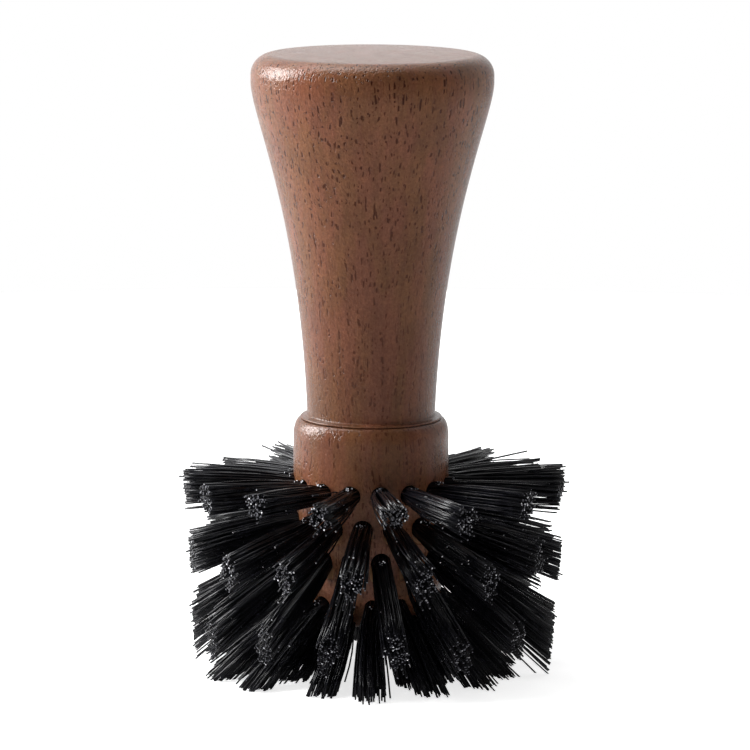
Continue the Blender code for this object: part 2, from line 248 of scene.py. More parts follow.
def line(start, end, points):
    """Points from start up to, and without, end."""
    shares = [index / points for index in range(points)]
    return [(start[0] + (end[0] - start[0]) * part, start[1] + (end[1] - start[1]) * part)
            for part in shares]


def handle_outline(sizes):
    """From the middle of the crowned top, down the flare and foot, and up into the dowel's socket."""
    side_end = sizes.top - sizes.side_depth
    cove_top = sizes.seam + sizes.cove
    foot_radius = sizes.neck_radius + sizes.foot_flare
    flat_radius = sizes.grip_radius - sizes.shoulder
    rows = STEPS["crown"]
    crown = [(flat_radius * index / rows, sizes.top - sizes.crown * (index / rows) ** 2)
             for index in range(rows)]
    shoulder = arc((flat_radius, sizes.top - sizes.crown - sizes.shoulder), sizes.shoulder, sizes.shoulder,
                   QUARTER_ARC, STEPS["shoulder"])
    span = side_end - cove_top
    lean = sizes.lean * (sizes.grip_radius - sizes.neck_radius)
    upper_pull = side_end - sizes.upper_pull * span
    lower_pull = cove_top + sizes.lower_pull * span
    corners = ((sizes.grip_radius, side_end), (sizes.grip_radius, upper_pull),
               (sizes.neck_radius + lean, lower_pull), (sizes.neck_radius, cove_top))
    flare = [cubic_point(corners, index / STEPS["flare"]) for index in range(STEPS["flare"] + 1)]
    cove = arc((foot_radius, cove_top), sizes.foot_flare, sizes.cove - sizes.foot_edge, COVE_ARC,
               STEPS["cove"])
    half_edge = sizes.foot_edge / 2
    lip = arc((foot_radius - half_edge, sizes.seam + half_edge), half_edge, half_edge, LIP_ARC,
              STEPS["lip"])
    socket_radius = DOWEL_HIGH.x + FIT_GAP
    socket_top = DOWEL_HIGH.z + FIT_GAP
    socket = [(socket_radius + SOCKET_CHAMFER, sizes.seam), (socket_radius, sizes.seam + SOCKET_CHAMFER),
              (socket_radius, socket_top), (0, socket_top)]
    return crown + shoulder + flare + cove[1:] + lip + socket


def head_end_point(sizes, seam, along):
    """Point on the rounding between the head's straight side and its flat end."""
    side_end = seam - sizes.straight_share * (seam - sizes.end_height)
    drop = sizes.end_drop * (side_end - sizes.end_height)
    reach = sizes.end_radius + sizes.end_reach * (sizes.radius - sizes.end_radius)
    return cubic_point(((sizes.radius, side_end), (sizes.radius, side_end - drop),
                        (reach, sizes.end_height), (sizes.end_radius, sizes.end_height)), along)


def head_radius_at(sizes, seam, height):
    """Radius of the head at a height, found by halving the rounding's curve."""
    if height >= head_end_point(sizes, seam, 0)[1]:
        return sizes.radius
    low, high = 0.0, 1.0
    for _ in range(CURVE_HALVINGS):
        middle = (low + high) / 2
        if head_end_point(sizes, seam, middle)[1] > height:
            low = middle
        else:
            high = middle
    return head_end_point(sizes, seam, low)[0]


def head_outline(sizes, seam):
    """From the bottom of the dowel's socket, up and out over the collar, and down to the flat end."""
    top = seam - SEAM_GAP
    socket_radius = DOWEL_HIGH.x + FIT_GAP
    socket_bottom = DOWEL_LOW.z - FIT_GAP
    rim_radius = sizes.radius - sizes.rim_width
    socket = [(0, socket_bottom), (socket_radius, socket_bottom), (socket_radius, top - SOCKET_CHAMFER),
              (socket_radius + SOCKET_CHAMFER, top)]
    face = line((rim_radius - FACE_RING, top), (rim_radius, top), STEPS["face"])
    rim = arc((rim_radius, top - sizes.rim_depth), sizes.rim_width, sizes.rim_depth, QUARTER_ARC,
              STEPS["rim"])
    side = line(rim[-1], head_end_point(sizes, seam, 0), STEPS["side"])
    end = [head_end_point(sizes, seam, index / STEPS["end"]) for index in range(STEPS["end"] + 1)]
    flat = line(end[-1], (0, sizes.end_height), STEPS["flat"])
    return socket + face + rim + side[1:] + end + flat[1:] + [(0, sizes.end_height)]


# Meshes

def turned_geometry(outline, steps):
    """Points and faces turned about Z from an outline that starts and ends on the axis."""
    angles = np.arange(steps) * math.tau / steps
    circle = np.stack([np.cos(angles), np.sin(angles)], 1)
    rings = np.array(outline[1:-1])
    points = np.empty((len(rings), steps, 3))
    points[:, :, :2] = rings[:, 0, None, None] * circle
    points[:, :, 2] = rings[:, 1, None]
    start = [[0, 0, outline[0][1]]]
    end = [[0, 0, outline[-1][1]]]
    points = np.concatenate([start, points.reshape(-1, 3), end])
    faces = []
    last_ring = 1 + (len(rings) - 1) * steps
    for this in range(steps):
        following = (this + 1) % steps
        faces.append((0, 1 + this, 1 + following))
        for first in range(1, last_ring, steps):
            second = first + steps
            faces.append((first + this, second + this, second + following, first + following))
        faces.append((len(points) - 1, last_ring + following, last_ring + this))
    return points, faces


def add_piece(name, points, faces):
    """A new object at the origin, with its place in its mesh."""
    mesh = bpy.data.meshes.new(name)
    mesh.from_pydata([tuple(point) for point in points], [], faces)
    piece = bpy.data.objects.new(name, mesh)
    bpy.context.scene.collection.objects.link(piece)
    return piece


def shade_round(mesh):
    """Smooth shading between sharp edges."""
    mesh.shade_smooth()
    mesh.set_sharp_from_angle(angle=SHARP_ANGLE)


def give_materials(piece, *materials):
    """Gives a piece these materials and no others."""
    piece.data.materials.clear()
    for material in materials:
        piece.data.materials.append(material)


# Rings of tufts

# How far a drill stands out of the wood, and its point's depth as a share of its radius.
DRILL_OVERRUN = 0.0012
DRILL_POINT = 0.4
# Height at which the trimmed shape has the brush's full radius.
TRIM_TOP = 0.0298
# Scatter of the filaments' thickness, of their places in the hole and in their clumps, and of the lean.
THICKNESS_SCATTER = 0.08
PACKING_SCATTER = 0.05
CLUMP_SCATTER = 0.12
LEAN_DEGREES = 1.7
# Filament radii that the outer ones keep from the hole's wall, and how far out the clumps' middles are.
HOLE_MARGIN = 1.2
CLUMP_REACH = 1.05
# A tuft spreads by this power of the way along it.
SPREAD_POWER = 0.6
# Share of filaments that stray, and how far in millimetres.
STRAY_SHARE = 0.05
STRAY_DRIFT = 1.0
# Share of filaments that hang, end early or reach on, with the least and the most in millimetres.
HANGING = (0.07, 0.5, 2.2)
SHORT = (0.12, 0.2, 1.4)
LONG = (0.03, 0.2, 0.8)
# Filaments farther out than this share of the tuft can break, between these shares of their length.
OUTER_FROM = 0.6
BROKEN_AT = (0.3, 0.95)
# The stubs are the filaments nearest the hole's top, with places to its side counted this much less near,
# and are so many millimetres long, with painted glints on their ends.
STUB_SIDE_WEIGHT = 0.3
STUB_LENGTH = (0.3, 1.6)
# Share of whole filaments whose ends get the broken ends' painted glints.
PAINTED_GLINT_SHARE = 0.1
# The trimmed end is looked for between these shares of a tuft's length, in this many tries.
END_SEARCH = (0.5, 1.5, 401)
# Rows of points along a filament, as shares of its length, after one at a share of the hole's depth.
STATIONS = (0, 0.22, 0.45, 0.7, 1.0)
ROOT_SHARE = 0.8
FILAMENT_SIDES = 6
# The least slope at which a filament is taken to meet the floor.
LEAST_FALL = 0.2


def ring_list(names, scene):
    """Where each named ring's tufts start and point, at angle zero, in the (radius, height) plane."""
    head, tufts, seam = scene.brush_head, scene.brush_tufts, scene.brush_handle.seam
    rings = []
    for name in names:
        plan = ALL_RINGS[name]
        if name in UPPER_RINGS:
            place = list(UPPER_RINGS).index(name)
            height = seam - (tufts.first_ring + tufts.ring_step * place) * (seam - head.end_height)
            root = Vector((head_radius_at(head, seam, height), height))
            reach = tufts.radius * plan["reach"] - root.x
            tip = root + reach * Vector((1, -math.tan(math.radians(plan["droop"]))))
            details = (tufts.hole_radius, head.hole_depth, tufts.spread, tufts.filaments)
        else:
            root = Vector(head_end_point(head, seam, plan["root"]))
            tip = Vector((tufts.radius * plan["reach"], 0))
            details = (tufts.lower_hole_radius, head.lower_hole_depth, tufts.lower_spread,
                       tufts.lower_filaments)
        hole_radius, hole_depth, spread, filaments = details
        rings.append({"name": name, "root": root, "way": (tip - root).normalized(),
                      "length": (tip - root).length, "first_angle": plan["first_angle"],
                      "hole_radius": hole_radius, "hole_depth": hole_depth,
                      "spread": (plan["tallness"] * spread, spread), "filaments": filaments})
    return rings


def tuft_frame(ring, index):
    """Matrix from a tuft's own axes, Z along it from its hole's mouth, to its place on the brush."""
    way = Vector((ring["way"].x, 0, ring["way"].y))
    side = Vector((0, 1, 0))
    across = side.cross(way)
    place = Matrix((across, side, way)).transposed().to_4x4()
    place.translation = Vector((ring["root"].x, 0, ring["root"].y))
    turn = math.radians(ring["first_angle"] + 360 * index / TUFTS_PER_RING - 90)
    return Matrix.Rotation(turn, 4, "Z") @ place


def drill_outline(ring, chamfer):
    """A drill with a countersink and a pointed end, from outside the wood to the hole's bottom."""
    radius = ring["hole_radius"]
    return [(0, DRILL_OVERRUN), (radius + chamfer + DRILL_OVERRUN, DRILL_OVERRUN), (radius, -chamfer),
            (radius, -ring["hole_depth"]), (0, -ring["hole_depth"] - radius * DRILL_POINT)]


def drill_head(head, rings, chamfer, inside):
    """Cuts every tuft's hole out of the head, and gives the holes' walls their own material."""
    points, faces = [], []
    for ring in rings:
        shape, shape_faces = turned_geometry(drill_outline(ring, chamfer), STEPS["drill"])
        shape = np.c_[shape, np.ones(len(shape))]
        for index in range(TUFTS_PER_RING):
            offset = sum(len(part) for part in points)
            points.append((shape @ np.array(tuft_frame(ring, index)).T)[:, :3])
            faces.extend(tuple(corner + offset for corner in face) for face in shape_faces)
    drills = add_piece("drills", np.concatenate(points), faces)
    give_materials(drills, inside)
    cut = head.modifiers.new("drill", "BOOLEAN")
    cut.operation = "DIFFERENCE"
    cut.solver = "EXACT"
    cut.material_mode = "TRANSFER"
    cut.object = drills
    evaluated = head.evaluated_get(bpy.context.evaluated_depsgraph_get())
    drilled = bpy.data.meshes.new_from_object(evaluated)
    head.modifiers.clear()
    if len(drilled.vertices) <= len(head.data.vertices):
        raise RuntimeError("the holes weren't cut")
    head.data = drilled
    bpy.data.objects.remove(drills)


def trimmed_radius(tufts, height):
    """Radius at which the tufts are trimmed at a height."""
    return tufts.radius - tufts.trim_taper * (TRIM_TOP - height)


def pick(rng, among, portion, least, most):
    """A random portion of the marked filaments, and a random number for each of those."""
    picked = (rng.random(len(among)) < portion) & among
    return picked, rng.uniform(least, most, int(picked.sum()))


def spread_filaments(ring, index, tufts, rng):
    """Across a tuft, how far out each filament is, its root, its tip at full length, and its bend."""
    amount = ring["filaments"]
    order = np.arange(amount)
    packed = np.sqrt((order + 0.5) / amount)
    turn = order * math.pi * (3 - math.sqrt(5)) + rng.uniform(0, math.tau)
    disc = packed[:, None] * np.stack([np.cos(turn), np.sin(turn)], 1)
    disc += rng.normal(0, PACKING_SCATTER, disc.shape)
    root = disc * (ring["hole_radius"] - tufts.filament * HOLE_MARGIN)

    clumps = disc[rng.choice(amount, tufts.clumps, replace=False)] * CLUMP_REACH
    nearest = np.linalg.norm(disc[:, None] - clumps, axis=2).argmin(1)
    gathered = disc + tufts.clumping * (clumps[nearest] - disc)
    gathered += CLUMP_SCATTER * rng.standard_normal(disc.shape)
    tip = gathered * ring["spread"]
    tip[:, 0] *= FANS.get(ring["name"], {}).get(index, 1.0)
    seeded_lean = rng.normal(0, LEAN_DEGREES, 2)
    lean = np.radians(LEANS.get(ring["name"], {}).get(index, seeded_lean))
    tip += ring["length"] * np.tan(lean[::-1])
    stray = rng.random(amount) < STRAY_SHARE
    tip[stray] += rng.normal(0, STRAY_DRIFT * MM, (int(stray.sum()), 2))
    hanging, drop = pick(rng, np.full(amount, True), *HANGING)
    tip[hanging, 0] += drop * MM
    bend = rng.normal(0, tufts.bow, (amount, 2)) + rng.normal(0, tufts.bow, (tufts.clumps, 2))[nearest]
    return packed, root, tip, bend


def filament_points(ring, index, bundle, reach):
    """Centres of the filaments at distances from the hole's mouth, one row of distances each."""
    _, root, tip, bend = bundle
    place = np.array(tuft_frame(ring, index))
    part = np.clip(reach / ring["length"], 0, None)
    spread = part ** SPREAD_POWER
    curve = np.sin(np.clip(part, 0, 1) * math.pi)
    local = np.empty(reach.shape + (3,))
    local[..., :2] = (root[:, None] * (1 - spread)[..., None] + tip[:, None] * spread[..., None]
                      + bend[:, None] * curve[..., None])
    local[..., 2] = reach
    return local @ place[:3, :3].T + place[:3, 3]


def filament_ends(ring, index, tufts, bundle, rng):
    """How far each filament reaches, which end on the floor, and which ends carry painted glints."""
    packed, root = bundle[:2]
    amount = ring["filaments"]
    tries = np.linspace(*END_SEARCH) * ring["length"]
    tried = filament_points(ring, index, bundle, np.broadcast_to(tries, (amount, len(tries))))
    width = np.hypot(tried[..., 0] - tufts.trim_aside, tried[..., 1])
    under = tried[..., 2] < 0
    gone = (width > trimmed_radius(tufts, tried[..., 2])) | under
    ends = tries[np.where(gone.any(1), gone.argmax(1), len(tries) - 1)]
    on_floor = under[np.arange(amount), gone.argmax(1)]
    ends -= np.abs(rng.normal(0, tufts.raggedness, amount))
    short, less = pick(rng, np.full(amount, True), *SHORT)
    ends[short] -= less * MM
    long, more = pick(rng, ~on_floor, *LONG)
    ends[long] += more * MM
    broken, left = pick(rng, packed > OUTER_FROM, tufts.broken, *BROKEN_AT)
    ends[broken] *= left
    stubs = np.argsort(root[:, 0] + STUB_SIDE_WEIGHT * np.abs(root[:, 1]))[:tufts.stubs]
    ends[stubs] = rng.uniform(*STUB_LENGTH, tufts.stubs) * MM
    # Broken ends, stubs and a few whole filaments get painted glints on their ends.
    pale = broken | (rng.random(amount) < PAINTED_GLINT_SHARE)
    pale[stubs] = True
    return ends, on_floor, pale


def tube_geometry(centers, radius, turns, on_floor):
    """Points and faces of tubes round rows of centres, cut level where they end on the floor."""
    ways = np.gradient(centers, axis=1)
    ways /= np.linalg.norm(ways, axis=2, keepdims=True)
    level_side = np.cross(ways, (0, 0, 1))
    level_side /= np.linalg.norm(level_side, axis=2, keepdims=True)
    other_side = np.cross(ways, level_side)
    section = (np.cos(turns)[:, None, :, None] * level_side[:, :, None]
               + np.sin(turns)[:, None, :, None] * other_side[:, :, None])
    points = centers[:, :, None] + section * radius[:, None, None, None]
    last = points[:, -1]
    last_way = ways[:, -1]
    floor_height = np.maximum(centers[:, -1, 2], 0)[:, None]
    fall = np.minimum(last_way[:, 2], -LEAST_FALL)[:, None]
    to_level = ((floor_height - last[..., 2]) / fall)[..., None] * last_way[:, None]
    last += np.where(on_floor[:, None, None], to_level, 0)

    amount, rows, sides = points.shape[:3]
    points = points.reshape(-1, 3)
    points[:, 2] = np.maximum(points[:, 2], 0)
    faces = []
    for first in range(0, amount * rows * sides, rows * sides):
        end_row = first + (rows - 1) * sides
        for row in range(first, end_row, sides):
            for corner in range(sides):
                following = (corner + 1) % sides
                faces.append((row + corner, row + following, row + sides + following, row + sides + corner))
        faces.append(tuple(end_row + corner for corner in range(sides)))
        faces.append(tuple(first + sides - 1 - corner for corner in range(sides)))
    return points, faces


def tuft_geometry(ring, index, tufts, seed):
    """Points and faces of one tuft, from inside its hole to the trimmed ends, and which ends carry painted
    glints.
    """
    rng = np.random.default_rng(seed)
    amount = ring["filaments"]
    radius = tufts.filament * (1 + THICKNESS_SCATTER * rng.standard_normal(amount).clip(-2, 2))
    bundle = spread_filaments(ring, index, tufts, rng)
    ends, on_floor, pale = filament_ends(ring, index, tufts, bundle, rng)
    inside = np.full((amount, 1), -ROOT_SHARE * ring["hole_depth"])
    reach = np.concatenate([inside, ends[:, None] * np.array(STATIONS)], 1)
    corners = np.arange(FILAMENT_SIDES) * math.tau / FILAMENT_SIDES
    turns = corners + rng.uniform(0, math.tau, (amount, 1))
    points, faces = tube_geometry(filament_points(ring, index, bundle, reach), radius, turns, on_floor)
    return points, faces, pale


def add_tuft(ring, index, tufts, seed, materials):
    """One tuft as a piece, smooth along its filaments and flat on their cut ends, with painted sheen on the
    cut ends and painted glints on some.
    """
    name = f"{ring['name']}_{index + 1:02d}_filaments"
    points, faces, pale = tuft_geometry(ring, index, tufts, seed)
    piece = add_piece(name, points, faces)
    give_materials(piece, *materials)
    ends = np.array([len(face) > 4 for face in faces])
    finish = ends.astype(int)
    # Ends with painted glints take the third material.
    finish.reshape(len(pale), -1)[pale, -2:] = 2
    piece.data.polygons.foreach_set("use_smooth", ~ends)
    piece.data.polygons.foreach_set("material_index", finish)
    piece.data.update()
    return piece


# Materials

# Millimetres between the wood's vessels, the radius of the widest, and how far they wander.
WIDE_VESSELS = {"Spacing": 0.66, "Width": 0.24, "Wander": 2.2}
FINE_VESSELS = {"Spacing": 0.5, "Width": 0.12, "Wander": 1.6}
BARE_VESSELS = {"Spacing": 0.7, "Width": 0.08, "Wander": 0.8}
# Each noise in the wood: its lumps' sizes in millimetres, its detail and its roughness.
FIBRE_PATTERNS = {
    "Streak": ((1.1, 1.1, 26), 3.0, 0.5),
    "Fine Streak": ((0.22, 0.22, 3.2), 2.0, 0.5),
    "Patch": ((3.2, 3.2, 17), 2.0, 0.5),
    "Cloud": ((6, 6, 9), 1.0, 0.5),
    "Fleck": ((0.4, 0.4, 0.5), 3.0, 0.7),
}
# How dark and how bright each of them makes the stain.
WOOD_TONES = {"Streak": (0.88, 1.12), "Fine Streak": (0.93, 1.07), "Cloud": (0.9, 1.1),
              "Fleck": (0.77, 1.24)}
# Painted light and shade, as a factor on the stain's brightness, and how open the vessels are, low and
# high on the handle and on the collar: the handle is painted darker low down and paler towards its top, and
# the collar paler towards its bottom.
HANDLE_PAINTED_LIGHT_AND_PORES = ((0.82, 0.65), (1.15, 1.1))
COLLAR_PAINTED_LIGHT_AND_PORES = ((0.98, 0.75), (0.86, 0.75))
COLLAR_HEIGHT = 0.008
# How much a fine vessel shows beside a wide one, how far a pore's colour hides the stain, and how deep a
# pore is beside the varnish's unevenness.
FINE_VESSEL_SHARE = 0.55
PORE_STAIN = 0.85
PORE_DEPTH = 0.5
VARNISH = {"Dullness": 0.19, "Unevenness": 0.14}
VARNISH_RELIEF = 0.0001
BARE_RELIEF = 0.00004
# Roughness from the glossiest to the dullest place, or for ends from the darkest to the palest.
BARE_DULLNESS = (0.62, 0.78)
BRISTLE_DULLNESS = (0.15, 0.25)
END_DULLNESS = (0.5, 0.35)
# How pale the dustiest bristles are, and the streaks and vessels of bare wood, beside their own colour.
DUSTY_PALENESS = 2.2
BARE_STREAKS = (0.8, 1.15)
BARE_VESSEL_TONE = 0.35
BARE_VESSEL_SHARE = 0.7
# Range of the cut ends' painted sheen, from the darkest to the palest, beside their colour.
END_TONES = (0.15, 1.7)
# Sizes in millimetres of the other noises' lumps, and the range that most of a noise lies in.
LUMPS = {"drift": (7, 7, 8), "filled": (0.7, 0.7, 0.75), "cloudy": (2.2, 2.2, 4.0),
         "fine": (0.34, 0.34, 0.42), "dust": (1.6, 1.6, 1.6), "gloss": (2.4, 2.4, 2.4),
         "spots": (0.33, 0.33, 0.33)}
NOISE_RANGE = (0.3, 0.7)


def set_inputs(tree, node, inputs):
    """Links each named or numbered input of a node, or gives it a value."""
    for key, value in inputs.items():
        if isinstance(value, bpy.types.NodeSocket):
            tree.links.new(value, node.inputs[key])
        else:
            node.inputs[key].default_value = value


def add_node(tree, kind, inputs=None, **settings):
    """A new node with its options and inputs set."""
    made = tree.nodes.new(kind)
    for option, value in settings.items():
        setattr(made, option, value)
    set_inputs(tree, made, inputs or {})
    return made


def maths(tree, operation, first, second=0.0, clamp=False):
    """Output of a Math node."""
    return add_node(tree, "ShaderNodeMath", {0: first, 1: second}, operation=operation,
                    use_clamp=clamp).outputs[0]


def stretched(tree, position, stretch):
    """Position in millimetres, divided along each axis by a length in millimetres."""
    scale = tuple(1000 / part for part in stretch)
    return add_node(tree, "ShaderNodeVectorMath", {0: position, 1: scale}, operation="MULTIPLY").outputs[0]


def noise(tree, position, stretch, detail=2.0, roughness=0.5):
    """Output of a Noise Texture whose lumps have these sizes in millimetres."""
    return add_node(tree, "ShaderNodeTexNoise", {"Vector": stretched(tree, position, stretch), "Scale": 1.0,
                                                 "Detail": detail, "Roughness": roughness}).outputs


def ramp(tree, value, low, high, from_low=0.0, from_high=1.0, kind="SMOOTHSTEP"):
    """Output of a Map Range node that takes low..high to from_low..from_high."""
    return add_node(tree, "ShaderNodeMapRange", {"Value": value, "From Min": low, "From Max": high,
                                                 "To Min": from_low, "To Max": from_high},
                    interpolation_type=kind).outputs[0]


def swing(tree, pattern, low, high):
    """Takes the usual range of a noise to low..high, in a straight line."""
    return ramp(tree, pattern, *NOISE_RANGE, low, high, "LINEAR")


def either(tree, factor, first, second):
    """A value that goes in a straight line from first, where the factor is 0, to second."""
    return ramp(tree, factor, 0.0, 1.0, first, second, "LINEAR")


def blend(tree, factor, first, second, kind="MIX"):
    """Output of a colour Mix node."""
    return add_node(tree, "ShaderNodeMix", {0: factor, 6: first, 7: second}, data_type="RGBA",
                    blend_type=kind).outputs[2]


def bump(tree, height, strength, distance):
    """Output of a Bump node."""
    return add_node(tree, "ShaderNodeBump", {"Height": height, "Strength": strength,
                                             "Distance": distance}).outputs[0]


def new_group(name, numbers, outputs):
    """The tree and the two end nodes' sockets of a new group, from a position and numbers to values."""
    tree = bpy.data.node_groups.new(name, "ShaderNodeTree")
    tree.interface.new_socket(name="Position", in_out="INPUT", socket_type="NodeSocketVector")
    for socket, usual in numbers.items():
        made = tree.interface.new_socket(name=socket, in_out="INPUT", socket_type="NodeSocketFloat")
        made.default_value = usual
    for socket in outputs:
        tree.interface.new_socket(name=socket, in_out="OUTPUT", socket_type="NodeSocketFloat")
    return tree, tree.nodes.new("NodeGroupInput").outputs, tree.nodes.new("NodeGroupOutput").inputs


def build_vessels(name):
    """Open vessels that run up the wood, so that a cut along them shows dashes, and one across dots."""
    tree, given, result = new_group(name, WIDE_VESSELS, ["Mask"])
    drift = noise(tree, given["Position"], LUMPS["drift"], 1.0)["Color"]
    centred = add_node(tree, "ShaderNodeVectorMath", {0: drift, 1: (0.5, 0.5, 0.5)},
                       operation="SUBTRACT").outputs[0]
    moved = add_node(tree, "ShaderNodeVectorMath", {0: centred, "Scale": given["Wander"]},
                     operation="SCALE").outputs[0]
    plain = stretched(tree, given["Position"], (1, 1, 1))
    wandering = add_node(tree, "ShaderNodeVectorMath", {0: plain, 1: moved}, operation="ADD").outputs[0]
    density = maths(tree, "DIVIDE", 1.0, given["Spacing"])
    cells = add_node(tree, "ShaderNodeTexVoronoi", {"Vector": wandering, "Scale": density},
                     voronoi_dimensions="2D").outputs
    distance = maths(tree, "MULTIPLY", cells["Distance"], given["Spacing"])
    chance = add_node(tree, "ShaderNodeSeparateColor", {0: cells["Color"]}).outputs[0]
    width = maths(tree, "MULTIPLY", given["Width"], either(tree, chance, 0.45, 1.0))
    inside = maths(tree, "SUBTRACT", 1.0, maths(tree, "DIVIDE", distance, width), clamp=True)
    filled = noise(tree, given["Position"], LUMPS["filled"], 0.0)["Fac"]
    open_part = ramp(tree, filled, 0.49, 0.55)
    mask = maths(tree, "MULTIPLY", ramp(tree, inside, 0.0, 0.35), open_part)
    tree.links.new(mask, result["Mask"])
    return tree


def build_fibre(name):
    """Fine streaks along the wood, specks, and soft patches up to about two centimetres long."""
    tree, given, result = new_group(name, {}, FIBRE_PATTERNS)
    for pattern, (lumps, detail, roughness) in FIBRE_PATTERNS.items():
        tree.links.new(noise(tree, given["Position"], lumps, detail, roughness)["Fac"], result[pattern])
    return tree


def build_varnish(name):
    """Height and roughness of thin varnish over sanded wood."""
    tree, given, result = new_group(name, VARNISH, ["Roughness", "Height"])
    cloud = noise(tree, given["Position"], LUMPS["cloudy"], 3.0)["Fac"]
    change = maths(tree, "MULTIPLY", maths(tree, "SUBTRACT", cloud, 0.5), given["Unevenness"])
    tree.links.new(maths(tree, "ADD", given["Dullness"], change), result["Roughness"])
    fine = noise(tree, given["Position"], LUMPS["fine"])["Fac"]
    tree.links.new(fine, result["Height"])
    return tree


def new_material(name):
    """A material, its tree, its Principled shader, and the position on the piece."""
    material = bpy.data.materials.new(name)
    material.use_nodes = True
    tree = material.node_tree
    position = add_node(tree, "ShaderNodeTexCoord").outputs["Object"]
    return material, tree, tree.nodes["Principled BSDF"], position


def scaled(colour_value, times):
    """A colour made darker or paler."""
    return tuple(part * times for part in colour_value[:3]) + (1,)


def shared(name, build, *details):
    """The material of that name, built the first time it is asked for."""
    return bpy.data.materials.get(name) or build(name, *details)


def use_group(tree, name, build, position, numbers=None):
    """Outputs of a shared group placed in a material, built the first time it is asked for."""
    group = bpy.data.node_groups.get(name) or build(name)
    inputs = {"Position": position, **(numbers or {})}
    return add_node(tree, "ShaderNodeGroup", inputs, node_tree=group).outputs


def stained_wood(name, finishes, low, high):
    """Varnished hardwood, stained brown, with open vessels and soft red and olive patches.

    low and high say what changes from one height to another: each holds a height, the painted light and
    shade there as a factor on the stain's brightness, and how open the vessels are.
    """
    material, tree, shader, position = new_material(name)
    fibre = use_group(tree, "wood_fibre", build_fibre, position)
    varnish = use_group(tree, "varnish", build_varnish, position, VARNISH)
    wide = use_group(tree, "wood_vessels", build_vessels, position, WIDE_VESSELS)["Mask"]
    fine = use_group(tree, "wood_vessels", build_vessels, position, FINE_VESSELS)["Mask"]
    level_up = add_node(tree, "ShaderNodeSeparateXYZ", {0: position}).outputs["Z"]
    # Painted light and shade: the stain made darker or paler with height.
    painted_light_and_grain = ramp(tree, level_up, low[0], high[0], low[1], high[1], "LINEAR")
    openness = ramp(tree, level_up, low[0], high[0], low[2], high[2], "LINEAR")
    for pattern, (darkest, palest) in WOOD_TONES.items():
        painted_light_and_grain = maths(tree, "MULTIPLY", painted_light_and_grain, swing(tree, fibre[pattern], darkest, palest))
    patch = ramp(tree, fibre["Patch"], 0.35, 0.65)
    warm = blend(tree, patch, tuple(finishes.olive_stain), tuple(finishes.red_stain))
    base = blend(tree, 0.5, tuple(finishes.stain), warm)
    toned = blend(tree, 1.0, base, painted_light_and_grain, "MULTIPLY")
    pores = maths(tree, "MAXIMUM", wide, maths(tree, "MULTIPLY", fine, FINE_VESSEL_SHARE))
    pores = maths(tree, "MULTIPLY", pores, openness)
    stained = blend(tree, maths(tree, "MULTIPLY", pores, PORE_STAIN), toned, tuple(finishes.pore))
    relief = maths(tree, "SUBTRACT", varnish["Height"], maths(tree, "MULTIPLY", pores, PORE_DEPTH))
    set_inputs(tree, shader, {"Base Color": stained, "Roughness": varnish["Roughness"],
                              "Normal": bump(tree, relief, 1.0, VARNISH_RELIEF), "IOR": 1.45,
                              "Specular IOR Level": 0.6})
    return material


def bare_wood(name, wood_colour):
    """Unvarnished wood with streaks and vessels, for the dowel and inside the drilled holes."""
    material, tree, shader, position = new_material(name)
    fibre = use_group(tree, "wood_fibre", build_fibre, position)
    vessels = use_group(tree, "wood_vessels", build_vessels, position, BARE_VESSELS)["Mask"]
    streaks = swing(tree, fibre["Streak"], *BARE_STREAKS)
    toned = blend(tree, 1.0, tuple(wood_colour), streaks, "MULTIPLY")
    dark = scaled(wood_colour, BARE_VESSEL_TONE)
    set_inputs(tree, shader, {
        "Base Color": blend(tree, maths(tree, "MULTIPLY", vessels, BARE_VESSEL_SHARE), toned, dark),
        "Roughness": swing(tree, fibre["Fine Streak"], *BARE_DULLNESS),
        "Normal": bump(tree, fibre["Fine Streak"], 0.5, BARE_RELIEF)})
    return material


def bristle(name, finishes):
    """Glossy black nylon, a little dusty in places."""
    material, tree, shader, position = new_material(name)
    dust = ramp(tree, noise(tree, position, LUMPS["dust"], 1.0)["Fac"], 0.5, 0.8)
    dusty = scaled(finishes.bristle, DUSTY_PALENESS)
    gloss = noise(tree, position, LUMPS["gloss"], 1.0)["Fac"]
    set_inputs(tree, shader, {"Base Color": blend(tree, dust, tuple(finishes.bristle), dusty),
                              "Roughness": swing(tree, gloss, *BRISTLE_DULLNESS), "IOR": 1.5})
    return material


def bristle_end(name, end_colour):
    """Cut filament ends, painted pale for the light that their cut faces scatter, brighter or darker from
    one to the next.
    """
    material, tree, shader, position = new_material(name)
    spots = noise(tree, position, LUMPS["spots"], 0.0)["Fac"]
    # Painted sheen, brighter or darker from one cut end to the next.
    bright = ramp(tree, spots, 0.3, 0.72, *END_TONES, "LINEAR")
    set_inputs(tree, shader, {"Base Color": blend(tree, 1.0, tuple(end_colour), bright, "MULTIPLY"),
                              "Roughness": swing(tree, spots, *END_DULLNESS)})
    return material


# Operators, one for each kind of piece

class BRUSH_OT_turn_handle(bpy.types.Operator):
    """Turn the wooden handle, with a socket for the dowel"""
    bl_idname = "brush.turn_handle"
    bl_label = "Turn the handle"

    def execute(self, context):
        scene = context.scene
        points, faces = turned_geometry(handle_outline(scene.brush_handle), scene.brush_handle.steps)
        handle = add_piece("handle_turned", points, faces)
        shade_round(handle.data)
        # Painted shade low on the handle, painted light towards its top.
        low, high = HANDLE_PAINTED_LIGHT_AND_PORES
        give_materials(handle, shared("varnished_handle_wood", stained_wood, scene.brush_finishes,
                                      (scene.brush_handle.seam, *low), (scene.brush_handle.top, *high)))
        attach(handle, "root")
        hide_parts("handle")
        return {"FINISHED"}


